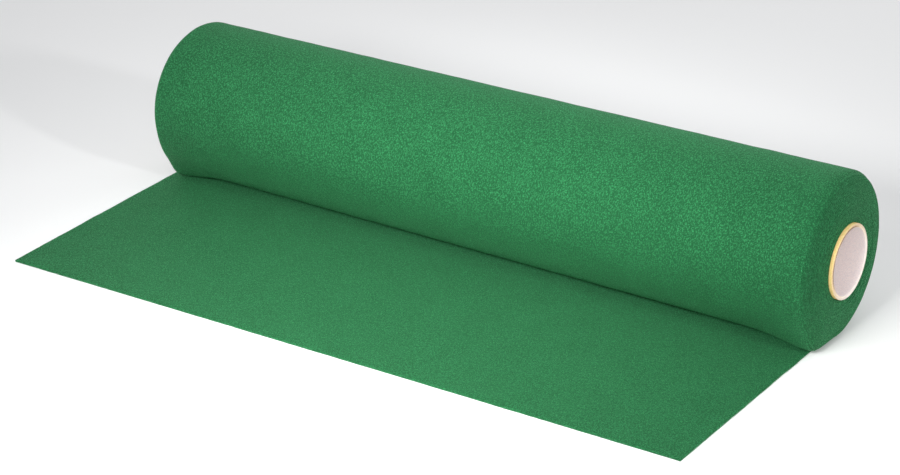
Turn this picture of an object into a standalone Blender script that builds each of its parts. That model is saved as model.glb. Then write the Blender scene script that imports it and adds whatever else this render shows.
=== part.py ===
"""A roll of felt on a cardboard tube, with its loose end laid out in front.

Metres, +Z up. X runs along the roll and the loose end lies towards -Y. The origin is
on the surface that the roll rests on, under the middle of the felt's width.
"""

import math

import bmesh
import bpy

# The felt as it was cut
FELT_WIDTH = 0.450
FELT_THICKNESS = 0.0012

# The wound roll
ROLL_RADIUS = 0.0491
FLAT_SPOT_HALF_ANGLE = math.radians(8.8)
SHOULDER_RADIUS = 0.0039
# The inner turns have crept along the tube: they stand out at +X and lie back at -X.
CREEP = 0.0036
BORE_CLEARANCE = 0.0003

# The outermost turn is pulled sideways where it runs down into the loose end, and each
# turn under it is pulled by a part of that.
TURN_SHIFT = -0.0070
TURN_SHIFT_REACH = math.radians(85.0)
SHIFT_KEPT_PER_TURN = 0.31
# Part of the shoulder's rounding that is left where the felt lies flat under the roll
SHOULDER_AT_FLOOR = 0.1

# The turns are slack at both ends of the roll, where they sag low on its front.
SLACK = 0.0034
SLACK_REACH = math.radians(51.0)
SLACK_WIDTH = 0.030

# The loose end: where its four corners lie
FRONT_LEFT = (-0.2240, -0.1756)
FRONT_RIGHT = (0.2214, -0.1621)
BACK_RIGHT = (0.2196, 0.0030)
BACK_LEFT = (-0.2330, 0.0030)

# The tube that the felt is wound on
TUBE_BORE_RADIUS = 0.01905
TUBE_WALL = 0.0022
TUBE_LENGTH = 0.455
TUBE_STANDS_OUT = 0.0019
TUBE_EDGE_RADIUS = 0.0003

# Fineness
TURN_STEPS = 72
SHOULDER_STEPS = 4
FACE_STEPS = 5
SLACK_STEPS = 3
TUBE_STEPS = 64

# Finish, as linear colours
FELT_GREEN = (0.045, 0.24, 0.09, 1.0)
FELT_ROUGHNESS = 0.95
TUBE_BUFF = (0.74, 0.56, 0.24, 1.0)
TUBE_ROUGHNESS = 0.8

TUBE_OUTER_RADIUS = TUBE_BORE_RADIUS + TUBE_WALL
FELT_BORE_RADIUS = TUBE_OUTER_RADIUS + BORE_CLEARANCE
AXIS_HEIGHT = ROLL_RADIUS * math.cos(FLAT_SPOT_HALF_ANGLE)
WOUND_DEPTH = ROLL_RADIUS - FELT_BORE_RADIUS


def clear_scene():
    """Start from an empty scene."""
    for thing in list(bpy.data.objects):
        bpy.data.objects.remove(thing, do_unlink=True)


def new_collection(name):
    collection = bpy.data.collections.new(name)
    bpy.context.scene.collection.children.link(collection)
    return collection


def new_object(name, mesh, collection):
    thing = bpy.data.objects.new(name, mesh)
    collection.objects.link(thing)
    return thing


def finish_material(name, colour, roughness):
    material = bpy.data.materials.new(name)
    material.use_nodes = True
    shader = material.node_tree.nodes["Principled BSDF"]
    shader.inputs["Base Color"].default_value = colour
    shader.inputs["Roughness"].default_value = roughness
    shader.inputs["Metallic"].default_value = 0.0
    return material


def outer_radius(angle):
    """Radius of the wound felt's outside, on the spiral that it is wound in.

    The angle starts at the bottom and goes up the back, over the top and down the
    front, where the roll is one thickness smaller and lies on its own loose end.
    """
    radius = ROLL_RADIUS - FELT_THICKNESS * angle / math.tau
    lowest = 0.0 if angle <= math.pi else FELT_THICKNESS / 2
    downwards = math.cos(angle)
    if downwards > 0.5:
        radius = min(radius, (AXIS_HEIGHT - lowest) / downwards)
    return radius


def floor_share(angle):
    """1 at the bottom of the roll, falling to 0 where the outer turn runs straight."""
    from_bottom = min(angle, math.tau - angle)
    if from_bottom >= TURN_SHIFT_REACH:
        return 0.0
    return (1 + math.cos(math.pi * from_bottom / TURN_SHIFT_REACH)) / 2


def slackened(radius, angle, from_end):
    """A radius with the sag of slack turns added, at a distance from the roll's end."""
    from_bottom = math.tau - angle
    if from_bottom >= SLACK_REACH:
        return radius
    sag = SLACK * math.sin(math.pi * from_bottom / SLACK_REACH) ** 2
    sag *= math.exp(-(from_end / SLACK_WIDTH) ** 2)
    sagged = radius + sag * (radius - FELT_BORE_RADIUS) / WOUND_DEPTH
    over_loose_end = AXIS_HEIGHT - FELT_THICKNESS / 2
    return min(sagged, over_loose_end / math.cos(from_bottom))


def end_profile(angle, side):
    """Points of one end from the side of the roll to its bore, as (x, radius).

    side is 1 for the end at +X and -1 for the end at -X.
    """
    near_floor = floor_share(angle)
    outside = outer_radius(angle)
    shoulder = SHOULDER_RADIUS * (1 - (1 - SHOULDER_AT_FLOOR) * near_floor)
    points = []
    for step in range(SLACK_STEPS, 0, -1):
        from_end = shoulder + 2 * SLACK_WIDTH * step / SLACK_STEPS
        points.append((side * (FELT_WIDTH / 2 - from_end), outside))
    for step in range(SHOULDER_STEPS + 1):
        turn = math.pi / 2 * step / SHOULDER_STEPS
        inwards = shoulder * (1 - math.cos(turn))
        back = shoulder * (1 - math.sin(turn))
        points.append((side * (FELT_WIDTH / 2 - back), outside - inwards))
    face_depth = outside - shoulder - FELT_BORE_RADIUS
    for step in range(1, FACE_STEPS + 1):
        share = (step / FACE_STEPS) ** 2
        x = side * FELT_WIDTH / 2 + CREEP * math.sin(math.pi / 2 * share)
        points.append((x, outside - shoulder - face_depth * share))
    shift = TURN_SHIFT * near_floor
    return [
        (
            x + shift * SHIFT_KEPT_PER_TURN ** ((outside - radius) / FELT_THICKNESS),
            slackened(radius, angle, max(FELT_WIDTH / 2 - abs(x), 0.0)),
        )
        for x, radius in points
    ]


def wound_felt(collection):
    """The wound felt as one ring-shaped loft between its spiral outside and its bore."""
    shape = bmesh.new()
    columns = []
    for step in range(TURN_STEPS):
        angle = math.tau * step / TURN_STEPS
        profile = end_profile(angle, 1) + end_profile(angle, -1)[::-1]
        columns.append([
            shape.verts.new((x, radius * math.sin(angle), AXIS_HEIGHT - radius * math.cos(angle)))
            for x, radius in profile
        ])
    rows = len(columns[0])
    for step, column in enumerate(columns):
        following = columns[(step + 1) % TURN_STEPS]
        for row in range(rows):
            above = (row + 1) % rows
            shape.faces.new((column[row], following[row], following[above], column[above]))
    bmesh.ops.recalc_face_normals(shape, faces=shape.faces)
    mesh = bpy.data.meshes.new("felt")
    shape.to_mesh(mesh)
    shape.free()
    mesh.shade_smooth()
    return new_object("felt", mesh, collection)


def loose_end(collection):
    """The flat length of felt in front of the roll, as a blank to be joined to it."""
    outline = bpy.data.curves.new("loose_end_outline", "CURVE")
    outline.dimensions = "2D"
    outline.fill_mode = "BOTH"
    outline.extrude = FELT_THICKNESS / 2
    corners = (FRONT_LEFT, FRONT_RIGHT, BACK_RIGHT, BACK_LEFT)
    spline = outline.splines.new("POLY")
    spline.points.add(len(corners) - 1)
    for point, (x, y) in zip(spline.points, corners):
        point.co = (x, y, 0.0, 1.0)
    spline.use_cyclic_u = True

    flat = new_object("loose_end_outline", outline, collection)
    flat.location.z = FELT_THICKNESS / 2
    bpy.context.view_layer.update()
    evaluated = flat.evaluated_get(bpy.context.evaluated_depsgraph_get())
    mesh = bpy.data.meshes.new_from_object(evaluated)
    welded = bmesh.new()
    welded.from_mesh(mesh)
    bmesh.ops.remove_doubles(welded, verts=welded.verts, dist=0.00001)
    welded.to_mesh(mesh)
    welded.free()
    blank = new_object("loose_end_blank", mesh, collection)
    blank.matrix_world = flat.matrix_world
    bpy.data.objects.remove(flat, do_unlink=True)
    blank.hide_render = True
    blank.display_type = "WIRE"
    return blank


def join_felt(wound, blank):
    """Make the loose end one piece of cloth with the roll."""
    union = wound.modifiers.new("loose_end", "BOOLEAN")
    union.operation = "UNION"
    union.solver = "EXACT"
    union.object = blank


def tube(collection):
    """The cardboard tube, turned about its axis, with both its ends cut square."""
    half = TUBE_LENGTH / 2
    section = bmesh.new()
    corners = [
        section.verts.new((TUBE_OUTER_RADIUS, 0, half)),
        section.verts.new((TUBE_OUTER_RADIUS, 0, -half)),
        section.verts.new((TUBE_BORE_RADIUS, 0, -half)),
        section.verts.new((TUBE_BORE_RADIUS, 0, half)),
    ]
    for index, corner in enumerate(corners):
        section.edges.new((corner, corners[(index + 1) % len(corners)]))
    mesh = bpy.data.meshes.new("core")
    section.to_mesh(mesh)
    section.free()

    turned = new_object("core", mesh, collection)
    turned.rotation_euler = (0, math.pi / 2, 0)
    right_end = FELT_WIDTH / 2 + CREEP + TUBE_STANDS_OUT
    turned.location = (right_end - half, 0, AXIS_HEIGHT)
    screw = turned.modifiers.new("turned", "SCREW")
    screw.axis = "Z"
    screw.angle = math.tau
    screw.steps = TUBE_STEPS
    screw.render_steps = TUBE_STEPS
    screw.use_merge_vertices = True
    screw.merge_threshold = 0.00001
    screw.use_smooth_shade = True
    edges = turned.modifiers.new("cut_edges", "BEVEL")
    edges.width = TUBE_EDGE_RADIUS
    edges.segments = 1
    edges.limit_method = "ANGLE"
    edges.angle_limit = math.radians(60)
    return turned


def main():
    clear_scene()
    parts = new_collection("felt_roll")
    blanks = new_collection("blanks")

    felt = wound_felt(parts)
    join_felt(felt, loose_end(blanks))
    felt.data.materials.append(finish_material("felt", FELT_GREEN, FELT_ROUGHNESS))

    core = tube(parts)
    core.data.materials.append(finish_material("core", TUBE_BUFF, TUBE_ROUGHNESS))


main()
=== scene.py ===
"""Looks of a roll of green craft felt, wound on a cardboard tube.

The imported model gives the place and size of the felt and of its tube. Here the felt is
made as the cloth that it is: flat strips of their true thickness, with rounded cut edges,
which are then laid out and wound up. A place on the flat cloth is (across, along, height)
in metres: across from the middle of the width, along from the front edge of the loose end,
and height from the face that is outside on the roll and underneath on the loose end.
"""

import logging
import math
from collections.abc import Callable
from dataclasses import dataclass
from enum import Enum

import bmesh
import bpy
import numpy as np
from mathutils import Matrix, Vector, noise


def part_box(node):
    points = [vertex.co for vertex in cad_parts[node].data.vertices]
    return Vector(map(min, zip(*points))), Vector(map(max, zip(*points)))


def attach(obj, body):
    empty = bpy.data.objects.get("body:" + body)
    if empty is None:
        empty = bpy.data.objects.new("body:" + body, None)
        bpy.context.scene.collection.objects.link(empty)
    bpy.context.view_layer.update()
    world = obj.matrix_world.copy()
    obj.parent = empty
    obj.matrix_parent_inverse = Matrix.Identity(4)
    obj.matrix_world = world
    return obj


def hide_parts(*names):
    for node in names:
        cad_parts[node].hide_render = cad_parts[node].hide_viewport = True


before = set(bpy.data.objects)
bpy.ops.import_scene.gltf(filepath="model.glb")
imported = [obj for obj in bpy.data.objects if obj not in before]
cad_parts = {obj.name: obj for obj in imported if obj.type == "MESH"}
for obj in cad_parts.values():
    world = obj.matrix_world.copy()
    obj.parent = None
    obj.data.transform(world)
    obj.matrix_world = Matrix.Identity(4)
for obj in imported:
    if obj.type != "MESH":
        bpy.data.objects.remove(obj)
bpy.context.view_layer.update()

log = logging.getLogger("felt_roll")

BODY = "root"
FELT_NODE = "felt"
TUBE_NODE = "core"
SURFACE_NAME = "surface"
FLAT_PLACE = "flat_place"

# Sockets of Blender's Mix node when it mixes colours
MIX_FACTOR, MIX_A, MIX_B, MIX_RESULT = 0, 6, 7, 2

# Points closer to each other than this are one point
WELD_DISTANCE = 0.00001

Colour = tuple[float, float, float, float]
Point = tuple[float, float, float]
Socket = bpy.types.NodeSocket


class TubeFace(Enum):
    """The kinds of surface of the tube, by the place of their finish on it."""

    OUTSIDE = 0
    CUT = 1
    INSIDE = 2


# Helpers for modelling


def select_nothing() -> None:
    """Leave no object selected, so that an operator acts on the new piece alone."""
    for thing in bpy.context.selected_objects:
        thing.select_set(False)


def name_piece(name: str) -> bpy.types.Object:
    """Name the object that was just added.

    Args:
        name: The piece's name.

    Returns:
        The active object, with its mesh named alike.
    """
    piece = bpy.context.active_object
    piece.name = name
    piece.data.name = name
    return piece


def select_edges(piece: bpy.types.Object, wanted: Callable[[bmesh.types.BMEdge], bool]) -> None:
    """Select edges of a piece in edit mode, and nothing else of it.

    Args:
        piece: The piece that is being edited.
        wanted: Tells of an edge whether it is to be selected.
    """
    bpy.ops.mesh.select_mode(type="EDGE")
    bpy.ops.mesh.select_all(action="DESELECT")
    shape = bmesh.from_edit_mesh(piece.data)
    for edge in shape.edges:
        if wanted(edge):
            edge.select_set(True)
    shape.select_flush_mode()
    bmesh.update_edit_mesh(piece.data)


def points_of(piece: bpy.types.Object) -> np.ndarray:
    """The places of a piece's vertices.

    Args:
        piece: A piece in object mode.

    Returns:
        An array with a row of three for each vertex.
    """
    points = np.empty(len(piece.data.vertices) * 3)
    piece.data.vertices.foreach_get("co", points)
    return points.reshape(-1, 3)


def move_points(piece: bpy.types.Object, points: np.ndarray) -> None:
    """Put the piece's vertices at new places."""
    piece.data.vertices.foreach_set("co", np.asarray(points, dtype=float).ravel())
    piece.data.update()


# Helpers for materials


class NodeSketch:
    """A node tree that is drawn one node at a time."""

    def __init__(self, tree: bpy.types.NodeTree) -> None:
        """Draw in the given tree."""
        self.tree = tree

    def node(self, kind: str, inputs: dict | None = None, **settings: object) -> bpy.types.Node:
        """Add a node.

        Args:
            kind: Blender's name for the type of node.
            inputs: Values or sockets for the node's inputs, by name or number.
            **settings: The node's own options.

        Returns:
            The new node.
        """
        node = self.tree.nodes.new(kind)
        for name, value in settings.items():
            setattr(node, name, value)
        for name, value in (inputs or {}).items():
            if isinstance(value, bpy.types.NodeSocket):
                self.tree.links.new(value, node.inputs[name])
            else:
                node.inputs[name].default_value = value
        return node

    def value(self, operation: str, first: Socket | float, second: Socket | float) -> Socket:
        """The result of a Math node on two values or sockets."""
        return self.node("ShaderNodeMath", {0: first, 1: second}, operation=operation).outputs[0]

    def vector(self, operation: str, output: str, inputs: dict) -> Socket:
        """An output of a Vector Math node with the given inputs."""
        return self.node("ShaderNodeVectorMath", inputs, operation=operation).outputs[output]

    def scaled(self, place: Socket, sizes: Point) -> Socket:
        """A place in units of the given sizes, in metres, along each of its axes."""
        per_metre = tuple(1 / size for size in sizes)
        return self.vector("MULTIPLY", "Vector", {0: place, 1: per_metre})

    def turned(self, place: Socket, degrees: float) -> Socket:
        """A place turned about its third axis.

        Args:
            place: The place.
            degrees: How far it is turned.

        Returns:
            The turned place.
        """
        return self.node(
            "ShaderNodeVectorRotate",
            {"Vector": place, "Angle": math.radians(degrees)},
            rotation_type="Z_AXIS",
        ).outputs["Vector"]

    def noise(self, place: Socket, detail: float, roughness: float = 0.5,
              distortion: float = 0.0) -> Socket:
        """A noise with features of about one unit of the place.

        Args:
            place: The place, in units of the features' size.
            detail: How many finer layers it has.
            roughness: How strong the finer layers are.
            distortion: How far it is warped.

        Returns:
            A value from 0 to 1.
        """
        return self.node(
            "ShaderNodeTexNoise",
            {"Vector": place, "Scale": 1.0, "Detail": detail, "Roughness": roughness,
             "Distortion": distortion},
        ).outputs["Fac"]

    def ranged(self, value: Socket, low: float, high: float,
               to_low: float = 0.0, to_high: float = 1.0) -> Socket:
        """A value mapped from one range to another and held inside it.

        Args:
            value: The value.
            low: Start of the range that it comes from.
            high: End of the range that it comes from.
            to_low: What it is at the start.
            to_high: What it is at the end.

        Returns:
            The mapped value.
        """
        return self.node(
            "ShaderNodeMapRange",
            {"Value": value, "From Min": low, "From Max": high, "To Min": to_low,
             "To Max": to_high},
        ).outputs["Result"]

    def mixed(self, factor: Socket | float, first: Socket | Colour, second: Socket | Colour,
              blend: str = "MIX") -> Socket:
        """Two colours mixed.

        Args:
            factor: How much of the second colour there is.
            first: The colour at a factor of 0.
            second: The colour at a factor of 1.
            blend: Blender's name for the way they are mixed.

        Returns:
            The mixed colour.
        """
        return self.node(
            "ShaderNodeMix",
            {MIX_FACTOR: factor, MIX_A: first, MIX_B: second},
            data_type="RGBA", blend_type=blend,
        ).outputs[MIX_RESULT]

    def flat_place(self) -> Socket:
        """The place on the flat cloth, which each piece of felt carries."""
        return self.node(
            "ShaderNodeAttribute", attribute_name=FLAT_PLACE, attribute_type="GEOMETRY"
        ).outputs["Vector"]

    def object_place(self) -> Socket:
        """The place in the frame, because every piece's object sits at the origin."""
        return self.node("ShaderNodeTexCoord").outputs["Object"]

    def group(self, group: bpy.types.NodeTree, inputs: dict) -> bpy.types.Node:
        """Place a node group and give it its inputs."""
        return self.node("ShaderNodeGroup", inputs, node_tree=group)


def new_group(
    name: str, inputs: dict[str, str], outputs: list[str]
) -> tuple[bpy.types.NodeTree, NodeSketch, bpy.types.Node, bpy.types.Node]:
    """Start a shader node group.

    Args:
        name: The group's name.
        inputs: The type of each input socket, by name.
        outputs: The names of the output values.

    Returns:
        The group, a sketch of its tree, its input node and its output node.
    """
    group = bpy.data.node_groups.new(name, "ShaderNodeTree")
    for socket, kind in inputs.items():
        group.interface.new_socket(name=socket, in_out="INPUT", socket_type=kind)
    for socket in outputs:
        group.interface.new_socket(name=socket, in_out="OUTPUT", socket_type="NodeSocketFloat")
    sketch = NodeSketch(group)
    return group, sketch, sketch.node("NodeGroupInput"), sketch.node("NodeGroupOutput")


def plain_material(name: str) -> tuple[bpy.types.Material, NodeSketch, bpy.types.Node]:
    """Start a material.

    Args:
        name: The material's name.

    Returns:
        The material, a sketch of its tree and its Principled shader.
    """
    material = bpy.data.materials.new(name)
    material.use_nodes = True
    return material, NodeSketch(material.node_tree), material.node_tree.nodes["Principled BSDF"]


# Finishes


@dataclass(frozen=True)
class FibreMat:
    """The tangle of fibres that felt and paperboard show, as one shared node group."""

    name: str = "fibre_mat"
    directions_deg: tuple[float, ...] = (78.0, 104.0, 30.0)
    fibre_length: float = 0.0014
    fibre_width: float = 0.00042
    fibre_from: float = 0.63
    fibre_full: float = 0.75
    nap_size: float = 0.0011
    nap_detail: float = 3.0
    nap_roughness: float = 0.65
    nap_warp: float = 0.3
    cloud_size: float = 0.022
    cloud_detail: float = 3.0
    low: float = 0.30
    high: float = 0.70

    def build(self) -> bpy.types.NodeTree:
        """Draw the group.

        Returns:
            A group that takes a place and a fineness and puts out three masks: single
            fibres, the nap between them, and broad clouds.
        """
        group, sketch, given, out = new_group(
            self.name,
            {"Place": "NodeSocketVector", "Fineness": "NodeSocketFloat"},
            ["Fibres", "Nap", "Clouds"],
        )
        place = sketch.vector(
            "SCALE", "Vector", {0: given.outputs["Place"], "Scale": given.outputs["Fineness"]}
        )
        fibres = None
        for degrees in self.directions_deg:
            streak = sketch.scaled(
                sketch.turned(place, degrees),
                (self.fibre_length, self.fibre_width, self.fibre_width),
            )
            lone = sketch.ranged(sketch.noise(streak, 0.0), self.fibre_from, self.fibre_full)
            fibres = lone if fibres is None else sketch.value("MAXIMUM", fibres, lone)
        nap = sketch.noise(
            sketch.scaled(place, (self.nap_size,) * 3),
            self.nap_detail, self.nap_roughness, self.nap_warp,
        )
        clouds = sketch.noise(
            sketch.scaled(given.outputs["Place"], (self.cloud_size,) * 3), self.cloud_detail
        )
        links = sketch.tree.links
        links.new(fibres, out.inputs["Fibres"])
        links.new(sketch.ranged(nap, self.low, self.high), out.inputs["Nap"])
        links.new(sketch.ranged(clouds, self.low, self.high), out.inputs["Clouds"])
        return group


@dataclass(frozen=True)
class FeltFinish:
    """Matte green felt with a short nap and a few fibres that glint.

    The glints are green in the photo, so they are made with the metallic value; the glinting
    fibres are also painted lighter, partly their own tone and partly a painted glint.
    """

    deep: Colour = (0.012, 0.076, 0.027, 1.0)
    body: Colour = (0.014, 0.096, 0.034, 1.0)
    # Lighter fibre colour: partly the fibres' own tone, partly a painted glint that shows under
    # any light
    fibre_and_painted_glint_colour: Colour = (0.060, 0.365, 0.140, 1.0)
    cloud_low: Colour = (0.94, 0.94, 0.94, 1.0)
    cloud_high: Colour = (1.06, 1.06, 1.06, 1.0)
    fibre_share: float = 0.70
    sheen_tint: Colour = (0.25, 1.0, 0.45, 1.0)
    sheen_weight: float = 0.16
    sheen_roughness: float = 0.45
    specular_level: float = 0.10
    specular_tint: Colour = (0.25, 1.0, 0.45, 1.0)
    gloss_nap: float = 0.05
    gloss_fibre: float = 0.50
    rough_nap: float = 0.60
    rough_fibre: float = 0.33
    bump_depth: float = 0.00050
    bump_strength: float = 0.8
    bump_share: float = 0.6

    def build(self, mat: bpy.types.NodeTree) -> bpy.types.Material:
        """Make the material.

        Args:
            mat: The shared group of fibres.

        Returns:
            The felt's material.
        """
        material, sketch, shader = plain_material("green_felt")
        fibres = sketch.group(mat, {"Place": sketch.flat_place(), "Fineness": 1.0})
        ground = sketch.mixed(fibres.outputs["Nap"], self.deep, self.body)
        # Fibres are mixed towards the lighter colour: partly their own tone, partly a painted
        # glint
        fibre_and_painted_glint = sketch.value("MULTIPLY", fibres.outputs["Fibres"], self.fibre_share)
        coloured = sketch.mixed(fibre_and_painted_glint, ground, self.fibre_and_painted_glint_colour)
        clouds = sketch.mixed(fibres.outputs["Clouds"], self.cloud_low, self.cloud_high)
        links = sketch.tree.links
        links.new(sketch.mixed(1.0, coloured, clouds, "MULTIPLY"), shader.inputs["Base Color"])
        roughness = sketch.ranged(
            fibres.outputs["Fibres"], 0.0, 1.0, self.rough_nap, self.rough_fibre
        )
        links.new(roughness, shader.inputs["Roughness"])
        gloss = sketch.ranged(
            fibres.outputs["Fibres"], 0.0, 1.0, self.gloss_nap, self.gloss_fibre
        )
        links.new(gloss, shader.inputs["Metallic"])
        height = sketch.value(
            "ADD",
            sketch.value("MULTIPLY", fibres.outputs["Fibres"], self.bump_share),
            sketch.value("MULTIPLY", fibres.outputs["Nap"], self.bump_share),
        )
        bump = sketch.node(
            "ShaderNodeBump",
            {"Strength": self.bump_strength, "Distance": self.bump_depth, "Height": height},
        )
        links.new(bump.outputs["Normal"], shader.inputs["Normal"])
        shader.inputs["Sheen Weight"].default_value = self.sheen_weight
        shader.inputs["Sheen Roughness"].default_value = self.sheen_roughness
        shader.inputs["Sheen Tint"].default_value = self.sheen_tint
        shader.inputs["Specular IOR Level"].default_value = self.specular_level
        shader.inputs["Specular Tint"].default_value = self.specular_tint
        return material


@dataclass(frozen=True)
class BoardFinish:
    """Paperboard of one colour, speckled with the fibres of its pulp."""

    name: str
    body: Colour
    dark: Colour
    light: Colour
    fineness: float = 1.6
    speck_share: float = 0.5
    roughness: float = 0.85
    specular_level: float = 0.3
    bump_depth: float = 0.00010
    bump_strength: float = 0.5

    def build(self, mat: bpy.types.NodeTree) -> bpy.types.Material:
        """Make the material.

        Args:
            mat: The shared group of fibres.

        Returns:
            The board's material.
        """
        material, sketch, shader = plain_material(self.name)
        pulp = sketch.group(
            mat, {"Place": sketch.object_place(), "Fineness": self.fineness}
        )
        ground = self.ground(sketch, pulp.outputs["Nap"])
        specks = sketch.value("MULTIPLY", pulp.outputs["Fibres"], self.speck_share)
        links = sketch.tree.links
        links.new(sketch.mixed(specks, ground, self.light), shader.inputs["Base Color"])
        bump = sketch.node(
            "ShaderNodeBump",
            {"Strength": self.bump_strength, "Distance": self.bump_depth,
             "Height": pulp.outputs["Nap"]},
        )
        links.new(bump.outputs["Normal"], shader.inputs["Normal"])
        shader.inputs["Roughness"].default_value = self.roughness
        shader.inputs["Specular IOR Level"].default_value = self.specular_level
        return material

    def ground(self, sketch: NodeSketch, nap: Socket) -> Socket:
        """The board's colour between its specks."""
        return sketch.mixed(nap, self.dark, self.body)


@dataclass(frozen=True)
class CutBoardFinish(BoardFinish):
    """The cut end of the board: tan on one side of the tube and pale on the other.

    A thin brown line of painted shade runs along the bore's edge on the tan side.
    """

    axis_height: float = 0.0485
    bore_radius: float = 0.01905
    pale: Colour = (0.90, 0.80, 0.74, 1.0)
    # Colour of the painted shade along the bore's edge
    painted_shade_brown: Colour = (0.16, 0.07, 0.03, 1.0)
    tan_towards: Point = (0.0, -0.75, 0.66)
    tan_reach: float = 0.012
    painted_shade_width: float = 0.0008
    painted_shade_from: float = 0.004
    painted_shade_full: float = 0.012

    def ground(self, sketch: NodeSketch, nap: Socket) -> Socket:
        """The cut's colour, by the side of the tube and the depth in its wall, with a painted
        shade line at the bore's edge.

        Args:
            sketch: The material's tree.
            nap: The mask between the board's two tans.

        Returns:
            The colour between the specks.
        """
        to_axis = (0.0, 0.0, -self.axis_height)
        place = sketch.vector("ADD", "Vector", {0: sketch.object_place(), 1: to_axis})
        section = sketch.vector("MULTIPLY", "Vector", {0: place, 1: (0.0, 1.0, 1.0)})
        towards = sketch.vector("DOT_PRODUCT", "Value", {0: section, 1: self.tan_towards})
        radius = sketch.vector("LENGTH", "Value", {0: section})
        tan_side = sketch.ranged(towards, -self.tan_reach, self.tan_reach)
        # Painted shade: a thin dark line on the cut next to the bore, on the tan side only
        outer = self.bore_radius + self.painted_shade_width
        inside_painted_shade_line = sketch.ranged(radius, outer, outer + self.painted_shade_width / 2, 1.0, 0.0)
        along_painted_shade_line = sketch.ranged(towards, self.painted_shade_from, self.painted_shade_full)
        painted_shade_line = sketch.value("MULTIPLY", inside_painted_shade_line, along_painted_shade_line)
        board = sketch.mixed(tan_side, self.pale, super().ground(sketch, nap))
        return sketch.mixed(painted_shade_line, board, self.painted_shade_brown)


# The felt

# Rows of the noise that the cloth's unevenness is read from, far enough apart to differ
EDGE_ROW = 7.3
FINE_EDGE_ROW = 3.1
FINE_EDGE_LAYER = 5.0
SLIP_ROW = 11.7


def waver(along: float, size: float, row: float, layer: float = 0.0) -> float:
    """A smooth random value around 0, which changes along the cloth."""
    return noise.noise(Vector((along / size, row, layer)))


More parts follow.
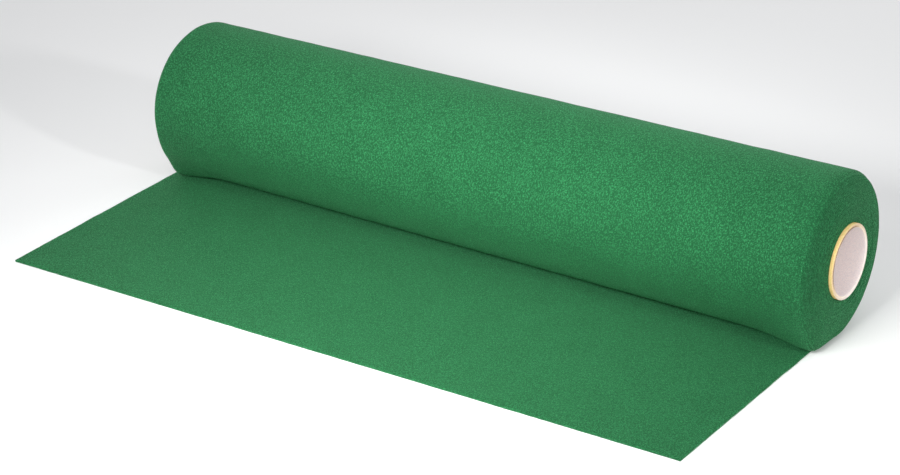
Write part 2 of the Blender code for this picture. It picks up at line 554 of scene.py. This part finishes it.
@dataclass(frozen=True)
class Winding:
    """How the flat cloth is laid out in front and wound up.

    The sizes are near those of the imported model, with a little more sag at the ends.
    floor_from is the cosine of the angle up to which the floor can flatten the roll.
    """

    width: float = 0.450
    thickness: float = 0.0012
    radius: float = 0.0491
    bore_radius: float = 0.02155
    flat_half_angle: float = math.radians(8.8)
    flat_softness: float = 0.0003
    floor_from: float = 0.5
    creep: float = 0.0036
    front_left: tuple[float, float] = (-0.2222, -0.1758)
    front_right: tuple[float, float] = (0.2214, -0.1626)
    shift_left: float = -0.0092
    shift_right: float = -0.0050
    shift_reach: float = math.radians(85.0)
    shift_kept: float = 0.31
    shoulder: float = 0.0039
    shoulder_at_floor: float = 0.10
    shoulder_reach: float = 0.020
    edge_drop: float = 0.0014
    edge_drop_depth: float = 0.003
    edge_drop_reach: float = 0.0033
    slack: float = 0.0046
    slack_reach: float = math.radians(51.0)
    slack_width: float = 0.022
    fill: float = 0.97

    @property
    def axis_height(self) -> float:
        """Height of the tube's axis over the surface."""
        return self.radius * math.cos(self.flat_half_angle)

    @property
    def loose_length(self) -> float:
        """Length of the loose end along its middle, up to the bottom of the roll."""
        return -(self.front_left[1] + self.front_right[1]) / 2

    @property
    def outer_turn_length(self) -> float:
        """Length of the outermost turn."""
        return math.tau * self.radius - self.thickness * math.pi

    @property
    def wound_length(self) -> float:
        """Length of cloth between the bottom of the roll and the tube."""
        return math.pi * (self.radius**2 - self.bore_radius**2) / self.thickness

    def turned_at(self, wound: float) -> float:
        """The angle through which the roll turns to take up a length of cloth.

        Args:
            wound: Length of cloth from the bottom of the roll, in metres.

        Returns:
            The angle in radians, from the outermost turn inwards.
        """
        left = self.radius**2 - self.thickness * wound / math.pi
        return (self.radius - math.sqrt(max(left, 0.0))) * math.tau / self.thickness

    def outer_radius(self, angle: float) -> float:
        """Radius of the roll's outside, softly flattened where it rests.

        Args:
            angle: From the bottom up the back, over the top and down the front.

        Returns:
            The radius in metres.
        """
        radius = self.radius - self.thickness * angle / math.tau
        downwards = math.cos(angle)
        if downwards <= self.floor_from:
            return radius
        lowest = 0.0 if angle <= math.pi else self.thickness
        floor_radius = (self.axis_height - lowest) / downwards
        gap = max(self.flat_softness - abs(radius - floor_radius), 0.0) / self.flat_softness
        return min(radius, floor_radius) - gap**2 * self.flat_softness / 4

    def turn_radius(self, turned: float) -> float:
        """Radius of the cloth's outer face after it has turned through an angle.

        Args:
            turned: The angle in radians, from the outermost turn inwards.

        Returns:
            The radius in metres, never inside the felt's bore.
        """
        angle = turned % math.tau
        spiral = self.radius - self.thickness * turned / math.tau
        outside = self.radius - self.thickness * angle / math.tau
        share = (spiral - self.bore_radius) / (outside - self.bore_radius)
        return self.bore_radius + (self.outer_radius(angle) - self.bore_radius) * max(share, 0.0)

    def floor_share(self, angle: float) -> float:
        """How much of what the floor does to the roll is left at an angle.

        Args:
            angle: The angle from the bottom.

        Returns:
            1 at the bottom of the roll, falling to 0 where the cloth runs straight.
        """
        from_bottom = min(angle, math.tau - angle)
        if from_bottom >= self.shift_reach:
            return 0.0
        return (1 + math.cos(math.pi * from_bottom / self.shift_reach)) / 2

    def wound_place(self, across: float, turned: float, height: float) -> Point:
        """Where a place of the cloth lies on the roll, as x, radius and angle.

        Args:
            across: From the middle of the width.
            turned: The winding angle.
            height: From the outer face.

        Returns:
            x in metres, the radius and the angle from the bottom.
        """
        angle = turned % math.tau
        near_floor = self.floor_share(angle)
        outside = self.outer_radius(angle)
        outer_face = self.turn_radius(turned)
        inner_face = self.turn_radius(turned + math.tau)
        radius = outer_face + (inner_face - outer_face) * self.fill * height / self.thickness

        from_edge = self.width / 2 - abs(across)
        side = math.copysign(1.0, across)
        softened = 1 - (1 - self.shoulder_at_floor) * near_floor
        edge = max(1 - from_edge / self.edge_drop_reach, 0.0) ** 2
        sunk = self.edge_drop * math.exp(-(outside - radius) / self.edge_drop_depth)
        radius -= sunk * edge * softened
        radius += self.slack_at(angle, from_edge, outside) * (radius - self.bore_radius) / (
            self.radius - self.bore_radius
        )

        depth = outside - outer_face + self.thickness / 2
        x = across - side * self.recess(depth) * softened * (
            max(1 - from_edge / self.shoulder_reach, 0.0) ** 2
        )
        wound_depth = outside - self.bore_radius
        x += self.creep * math.sin(math.pi / 2 * min(depth / wound_depth, 1.0))
        share = across / self.width + 0.5
        shift = self.shift_left + (self.shift_right - self.shift_left) * share
        x += shift * near_floor * self.shift_kept ** (turned / math.tau)
        return x, radius, angle

    def slack_at(self, angle: float, from_edge: float, outside: float) -> float:
        """How far the turns sag outwards, low on the front and close to the roll's ends.

        Args:
            angle: The angle from the bottom.
            from_edge: Distance from the nearer cut edge.
            outside: Radius of the roll's outside there without the sag.

        Returns:
            The sag in metres, which leaves room for the loose end underneath.
        """
        above_floor = math.tau - angle
        if above_floor >= self.slack_reach:
            return 0.0
        swell = math.sin(math.pi * above_floor / self.slack_reach) ** 2
        sag = self.slack * swell * math.exp(-((from_edge / self.slack_width) ** 2))
        room = (self.axis_height - self.thickness) / math.cos(above_floor) - outside
        if sag <= 0.0 or room <= 0.0:
            return 0.0
        return (sag**-4 + room**-4) ** -0.25

    def recess(self, depth: float) -> float:
        """How far a turn's edge lies back on the rounded shoulder.

        Args:
            depth: How deep the turn lies under the roll's outside.

        Returns:
            The distance in metres.
        """
        if depth >= self.shoulder:
            return 0.0
        return self.shoulder - math.sqrt(self.shoulder**2 - (self.shoulder - depth) ** 2)

    def place(self, across: float, along: float, height: float, lift: float) -> Point:
        """Where a place of the flat cloth ends up.

        Args:
            across: From the middle of the width.
            along: From the front edge.
            height: From the outer face.
            lift: How far it is raised there, off the surface or out from the roll.

        Returns:
            The point in the frame, in metres.
        """
        wound = along - self.loose_length
        if wound >= 0:
            x, radius, angle = self.wound_place(across, self.turned_at(wound), height)
            radius += lift * (1 - self.floor_share(angle))
            return x, radius * math.sin(angle), self.axis_height - radius * math.cos(angle)
        share = across / self.width + 0.5
        front_x = self.front_left[0] + (self.front_right[0] - self.front_left[0]) * share
        front_y = self.front_left[1] + (self.front_right[1] - self.front_left[1]) * share
        back_x = self.wound_place(across, 0.0, 0.0)[0]
        laid = along / self.loose_length
        x = front_x + (back_x - front_x) * laid
        return x, front_y * (1 - laid), height * self.fill + max(lift, 0.0)


@dataclass
class FeltStrip:
    """A length of the cloth, modelled flat at its real size and then laid or wound."""

    name: str
    start: float
    length: float
    columns: int
    rows: int
    edge_crowding: float
    winding: Winding
    edge_round: float = 0.00022
    edge_segments: int = 2
    corner_angle: float = math.radians(60)
    lump_height: float = 0.00016
    lump_size: float = 0.018
    lump_falloff: float = 0.8
    lump_ratio: float = 2.0
    lump_octaves: int = 3
    loose_rise: float = 0.4
    edge_wander: float = 0.00022
    wander_size: float = 0.015
    wander_depth: float = 0.02
    turn_wander: float = 0.00022
    slip_size: float = 0.11

    def build(self) -> bpy.types.Object:
        """Model the strip flat, then take each of its points to its place on the roll.

        Returns:
            The finished strip, which keeps where its points lay on the flat cloth.
        """
        strip = self.flat_strip()
        flat = points_of(strip)
        placed = np.array([self.placed(*point) for point in flat])
        self.keep_flat_places(strip, flat)
        move_points(strip, placed)
        return strip

    def flat_strip(self) -> bpy.types.Object:
        """Model the cloth as it lies flat.

        Returns:
            A closed slab of the cloth's thickness with rounded cut edges.
        """
        width = self.winding.width
        select_nothing()
        bpy.ops.mesh.primitive_grid_add(
            x_subdivisions=self.columns, y_subdivisions=self.rows, size=1.0
        )
        strip = name_piece(self.name)
        points = points_of(strip)
        from_edge = (1 - 2 * np.abs(points[:, 0])).clip(0, 1)
        inwards = np.expm1(self.edge_crowding * from_edge) / math.expm1(self.edge_crowding)
        points[:, 0] = np.sign(points[:, 0]) * width / 2 * (1 - inwards)
        points[:, 1] = self.start + (points[:, 1] + 0.5) * self.length
        move_points(strip, points)

        bpy.ops.object.mode_set(mode="EDIT")
        bpy.ops.mesh.select_all(action="SELECT")
        bpy.ops.mesh.extrude_region_move(
            TRANSFORM_OT_translate={"value": (0, 0, self.winding.thickness)}
        )
        bpy.ops.mesh.select_all(action="SELECT")
        bpy.ops.mesh.normals_make_consistent(inside=False)
        select_edges(strip, self.is_cut_corner)
        bpy.ops.mesh.bevel(
            offset=self.edge_round, segments=self.edge_segments, clamp_overlap=True
        )
        bpy.ops.object.mode_set(mode="OBJECT")
        bpy.ops.object.shade_smooth()
        return strip

    def is_cut_corner(self, edge: bmesh.types.BMEdge) -> bool:
        """Whether an edge is where a face of the cloth meets its cut side."""
        return len(edge.link_faces) == 2 and edge.calc_face_angle(0.0) > self.corner_angle

    def placed(self, across: float, along: float, height: float) -> Point:
        """Where a point of this strip ends up, with the unevenness of real cloth.

        Args:
            across: From the middle of the width.
            along: From the front edge.
            height: From the outer face.

        Returns:
            The point in the frame, in metres.
        """
        winding = self.winding
        side = math.copysign(1.0, across)
        edge = max(1 - (winding.width / 2 - abs(across)) / self.wander_depth, 0.0)
        ragged = waver(along, self.wander_size, EDGE_ROW * side)
        ragged += 0.5 * waver(
            along, self.wander_size / 4, FINE_EDGE_ROW * side, FINE_EDGE_LAYER
        )
        moved = across + edge * self.edge_wander * ragged
        if along > winding.loose_length + winding.outer_turn_length:
            moved += self.turn_wander * waver(along, self.slip_size, SLIP_ROW)
        lump = noise.fractal(
            Vector((across / self.lump_size, along / self.lump_size, 0.0)),
            self.lump_falloff, self.lump_ratio, self.lump_octaves,
        )
        rise = self.loose_rise if along < winding.loose_length else 0.0
        return winding.place(moved, along, height, self.lump_height * (lump + rise))

    def keep_flat_places(self, strip: bpy.types.Object, flat: np.ndarray) -> None:
        """Keep where each point lay on the flat cloth, for the pattern of its fibres."""
        kept = strip.data.attributes.new(FLAT_PLACE, "FLOAT_VECTOR", "POINT")
        kept.data.foreach_set("vector", flat.ravel())


@dataclass
class FeltCloth:
    """The whole cloth: its loose end with the outermost turn, and the turns under it."""

    winding: Winding
    outer_columns: int = 130
    outer_rows: int = 136
    outer_crowding: float = 1.6
    inner_columns: int = 16
    inner_rows: int = 1900
    inner_crowding: float = 6.0

    @property
    def outer_length(self) -> float:
        """Length of the loose end together with the outermost turn."""
        return self.winding.loose_length + self.winding.outer_turn_length

    def outer(self) -> bpy.types.Object:
        """Make the loose end and the outermost turn, which are one piece of cloth.

        Returns:
            The outer cloth.
        """
        return FeltStrip(
            "felt_outer", start=0.0, length=self.outer_length,
            columns=self.outer_columns, rows=self.outer_rows,
            edge_crowding=self.outer_crowding, winding=self.winding,
        ).build()

    def inner(self) -> bpy.types.Object:
        """Make the turns below the outermost one, down to the tube.

        Returns:
            The wound turns.
        """
        wound = self.winding.wound_length - self.winding.outer_turn_length
        return FeltStrip(
            "felt_turns", start=self.outer_length, length=wound,
            columns=self.inner_columns, rows=self.inner_rows,
            edge_crowding=self.inner_crowding, winding=self.winding, lump_height=0.0,
        ).build()

    def build(self, material: bpy.types.Material) -> list[bpy.types.Object]:
        """Make and dress the cloth.

        Args:
            material: The felt's finish.

        Returns:
            The outer cloth and the turns under it.
        """
        outer = self.outer()
        pieces = [outer, self.inner()]
        for piece in pieces:
            piece.data.materials.append(material)
            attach(piece, BODY)
            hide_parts(FELT_NODE)
        return pieces


# The tube


@dataclass
class CardboardTube:
    """The cardboard tube, cut square at both ends."""

    axis_height: float
    right_end: float
    bore_radius: float = 0.01905
    wall: float = 0.0022
    length: float = 0.455
    plies: int = 4
    ply_line_depth: float = 0.00010
    edge_round: float = 0.00035
    edge_segments: int = 3
    steps: int = 96
    smooth_angle: float = math.radians(40)
    fray: float = 0.00012
    fray_size: float = 0.004
    cut_facing: float = 0.3

    def build(self, outside: bpy.types.Material, cut: bpy.types.Material,
              inside: bpy.types.Material) -> bpy.types.Object:
        """Turn the tube from a section of its wall, and dress it.

        Args:
            outside: The finish of the outer ply.
            cut: The finish of the cut ends.
            inside: The finish of the bore.

        Returns:
            The tube.
        """
        tube = self.wall_section()
        self.turn_round()
        self.fray_ends(tube)
        for material in (outside, cut, inside):
            tube.data.materials.append(material)
        for face in tube.data.polygons:
            face.material_index = self.surface_of(face).value
        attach(tube, BODY)
        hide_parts(TUBE_NODE)
        return tube

    def wall_section(self) -> bpy.types.Object:
        """Model the section of the wall over the axis, with its plies at the cut ends.

        Returns:
            The section as a flat piece, still without its roundness.
        """
        select_nothing()
        bpy.ops.mesh.primitive_plane_add(size=1.0)
        tube = name_piece("core_tube")
        bpy.ops.object.mode_set(mode="EDIT")
        bpy.ops.mesh.select_all(action="SELECT")
        bpy.ops.transform.resize(value=(self.length, self.wall, 1.0))
        bpy.ops.mesh.bevel(
            offset=self.edge_round, segments=self.edge_segments, affect="VERTICES"
        )
        select_edges(tube, lambda edge: all(self.is_at_end(vertex) for vertex in edge.verts))
        bpy.ops.mesh.subdivide(number_cuts=2 * self.plies - 1)
        shape = bmesh.from_edit_mesh(tube.data)
        ply = (self.wall - 2 * self.edge_round) / self.plies
        near = 0.1
        for vertex in shape.verts:
            layer = (vertex.co.y + self.wall / 2 - self.edge_round) / ply
            between_plies = near < layer < self.plies - near and abs(layer - round(layer)) < near
            if between_plies and self.is_at_end(vertex):
                vertex.co.x -= math.copysign(self.ply_line_depth, vertex.co.x)
        bmesh.update_edit_mesh(tube.data)
        bpy.ops.mesh.select_all(action="SELECT")
        bpy.ops.transform.rotate(value=math.pi / 2, orient_axis="X", center_override=(0, 0, 0))
        middle = self.bore_radius + self.wall / 2
        bpy.ops.transform.translate(
            value=(self.right_end - self.length / 2, 0, self.axis_height + middle)
        )
        bpy.ops.object.mode_set(mode="OBJECT")
        return tube

    def is_at_end(self, vertex: bmesh.types.BMVert) -> bool:
        """Whether a vertex of the section, before it is moved, lies on a cut end."""
        return abs(vertex.co.x) > self.length / 2 - self.edge_round / 10

    def turn_round(self) -> None:
        """Spin the outline of the section, the active piece, about the axis and close it."""
        bpy.ops.object.mode_set(mode="EDIT")
        bpy.ops.mesh.select_all(action="SELECT")
        bpy.ops.mesh.delete(type="ONLY_FACE")
        bpy.ops.mesh.select_all(action="SELECT")
        bpy.ops.mesh.spin(
            steps=self.steps, angle=math.tau, center=(0, 0, self.axis_height), axis=(1, 0, 0)
        )
        bpy.ops.mesh.select_all(action="SELECT")
        bpy.ops.mesh.remove_doubles(threshold=WELD_DISTANCE)
        bpy.ops.mesh.normals_make_consistent(inside=False)
        bpy.ops.object.mode_set(mode="OBJECT")
        bpy.ops.object.shade_smooth_by_angle(angle=self.smooth_angle)

    def fray_ends(self, tube: bpy.types.Object) -> None:
        """Make the cut ends a little uneven round the tube.

        Args:
            tube: The tube.
        """
        points = points_of(tube)
        middle = self.right_end - self.length / 2
        for point in points:
            from_end = self.length / 2 - abs(point[0] - middle)
            if from_end < 2 * self.edge_round:
                rise = noise.noise(
                    Vector((point[1] / self.fray_size, point[2] / self.fray_size, point[0]))
                )
                point[0] -= math.copysign(self.fray * abs(rise), point[0] - middle)
        move_points(tube, points)

    def surface_of(self, face: bpy.types.MeshPolygon) -> TubeFace:
        """Tell which surface of the tube a face belongs to.

        Args:
            face: A face of the tube.

        Returns:
            The kind of surface, which has a finish of its own.
        """
        if abs(face.normal.x) > self.cut_facing:
            return TubeFace.CUT
        across = math.hypot(face.center.y, face.center.z - self.axis_height)
        return TubeFace.OUTSIDE if across > self.bore_radius + self.wall / 2 else TubeFace.INSIDE


# The studio

# The point over the loose end, close to the roll, that every lamp is aimed at
LAMP_AIM = (0.0, -0.04, 0.03)


def direction(azimuth: float, elevation: float) -> Vector:
    """The way from the felt out into the studio.

    Args:
        azimuth: 0 over the loose end, growing towards +X, in radians.
        elevation: The angle over the floor, in radians.

    Returns:
        A vector of length 1.
    """
    return Vector((
        math.sin(azimuth) * math.cos(elevation),
        -math.cos(azimuth) * math.cos(elevation),
        math.sin(elevation),
    ))


@dataclass(frozen=True)
class Lamp:
    """A lamp of the studio, aimed at LAMP_AIM."""

    name: str
    azimuth_deg: float
    elevation_deg: float
    distance: float
    power: float

    def hang(self, lamp: bpy.types.Light) -> None:
        """Put a lamp in its place and turn it to the felt.

        Args:
            lamp: The lamp, with its shape already set.
        """
        towards = direction(math.radians(self.azimuth_deg), math.radians(self.elevation_deg))
        lamp.energy = self.power
        hung = bpy.data.objects.new(self.name, lamp)
        hung.location = Vector(LAMP_AIM) + towards * self.distance
        hung.rotation_euler = towards.to_track_quat("Z", "Y").to_euler()
        bpy.context.scene.collection.objects.link(hung)


@dataclass(frozen=True)
class SoftBox(Lamp):
    """A lamp behind a flat diffuser, which lights more sideways the wider it spreads."""

    width: float
    height: float
    spread_deg: float

    def build(self) -> None:
        """Hang the lamp."""
        lamp = bpy.data.lights.new(self.name, "AREA")
        lamp.shape = "RECTANGLE"
        lamp.size, lamp.size_y = self.width, self.height
        lamp.spread = math.radians(self.spread_deg)
        self.hang(lamp)


@dataclass(frozen=True)
class PoolLamp(Lamp):
    """A lamp that lights a pool with a soft edge."""

    cone_deg: float
    softness: float
    radius: float = 0.06

    def build(self) -> None:
        """Hang the lamp."""
        lamp = bpy.data.lights.new(self.name, "SPOT")
        lamp.spot_size = math.radians(self.cone_deg)
        lamp.spot_blend = self.softness
        lamp.shadow_soft_size = self.radius
        self.hang(lamp)


@dataclass
class Studio:
    """A plain pale floor, soft lamps round the roll, and the camera."""

    target: tuple[float, float, float] = (0.0101, -0.0591, 0.030)
    distance: float = 1.3206
    azimuth: float = math.radians(35.395)
    elevation: float = math.radians(24.184)
    roll: float = math.radians(-0.697)
    lens: float = 92.717
    floor_size: float = 12.0
    floor_colour: Colour = (0.93, 0.93, 0.925, 1.0)
    floor_roughness: float = 0.9
    sky_colour: Colour = (0.97, 0.98, 1.0, 1.0)
    sky_strength: float = 0.63
    lamps: tuple[PoolLamp | SoftBox, ...] = (
        # Name, azimuth, elevation, distance, and then the rest by name
        PoolLamp("front_pool", 14.0, 38.0, 1.3, power=12.0, cone_deg=22.0, softness=0.8),
        PoolLamp("right_pool", 74.0, 24.0, 1.3, power=21.0, cone_deg=30.0, softness=0.8),
        SoftBox("strip", 12.0, 30.0, 0.6, power=1.1, width=0.36, height=0.08, spread_deg=80.0),
        SoftBox("low_front", 5.0, 8.0, 1.9, power=0.6, width=0.4, height=0.2, spread_deg=160.0),
        SoftBox("behind", 165.0, 25.0, 1.6, power=1.3, width=0.5, height=0.5, spread_deg=120.0),
    )

    def build(self) -> None:
        """Make the floor, the lights and the camera."""
        bpy.context.scene.view_settings.view_transform = "Standard"
        self.floor()
        self.light()
        self.camera()

    def floor(self) -> None:
        """Lay the floor that the roll rests on."""
        select_nothing()
        bpy.ops.mesh.primitive_plane_add(size=self.floor_size)
        floor = name_piece(SURFACE_NAME)
        material, _, shader = plain_material("pale_floor")
        shader.inputs["Base Color"].default_value = self.floor_colour
        shader.inputs["Roughness"].default_value = self.floor_roughness
        floor.data.materials.append(material)

    def light(self) -> None:
        """Set up the pale sky and hang the lamps."""
        world = bpy.data.worlds.new("pale_sky")
        world.use_nodes = True
        sky = world.node_tree.nodes["Background"]
        sky.inputs["Color"].default_value = self.sky_colour
        sky.inputs["Strength"].default_value = self.sky_strength
        bpy.context.scene.world = world
        for lamp in self.lamps:
            lamp.build()

    def camera(self) -> None:
        """Put the camera where it sees the roll as the photograph does."""
        back = direction(self.azimuth, self.elevation)
        level = Vector((math.cos(self.azimuth), math.sin(self.azimuth), 0.0))
        upwards = back.cross(level)
        right = level * math.cos(self.roll) + upwards * math.sin(self.roll)
        up = back.cross(right)
        camera = bpy.data.objects.new("camera", bpy.data.cameras.new("camera"))
        camera.data.lens = self.lens
        turned = Matrix((right, up, back)).transposed().to_4x4()
        camera.matrix_world = (
            Matrix.Translation(Vector(self.target) + back * self.distance) @ turned
        )
        bpy.context.scene.collection.objects.link(camera)
        bpy.context.scene.camera = camera


def report_piece(piece: bpy.types.Object) -> None:
    """Say how large a piece is and how many faces it has.

    Args:
        piece: A finished piece.
    """
    low, high = piece.bound_box[0], piece.bound_box[6]
    size = " x ".join(f"{(b - a) * 1000:.1f}" for a, b in zip(low, high))
    log.info("%s: %s mm, %d faces", piece.name, size, len(piece.data.polygons))


def main() -> None:
    """Build the studio, the felt and the tube."""
    logging.basicConfig(level=logging.INFO, format="%(message)s")
    Studio().build()
    winding = Winding()
    mat = FibreMat().build()

    for piece in FeltCloth(winding).build(FeltFinish().build(mat)):
        report_piece(piece)

    outside = BoardFinish(
        "buff_paper", body=(0.78, 0.58, 0.22, 1.0), dark=(0.64, 0.45, 0.15, 1.0),
        light=(0.88, 0.74, 0.42, 1.0),
    )
    cut = CutBoardFinish(
        "cut_board", body=(0.82, 0.60, 0.34, 1.0), dark=(0.62, 0.42, 0.20, 1.0),
        light=(0.90, 0.78, 0.60, 1.0), axis_height=winding.axis_height,
    )
    inside = BoardFinish(
        "grey_board", body=(0.93, 0.80, 0.76, 1.0), dark=(0.74, 0.67, 0.68, 1.0),
        light=(0.96, 0.93, 0.90, 1.0),
    )
    right_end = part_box(TUBE_NODE)[1][0]
    tube = CardboardTube(winding.axis_height, right_end)
    report_piece(tube.build(outside.build(mat), cut.build(mat), inside.build(mat)))


if __name__ == "__main__":
    main()
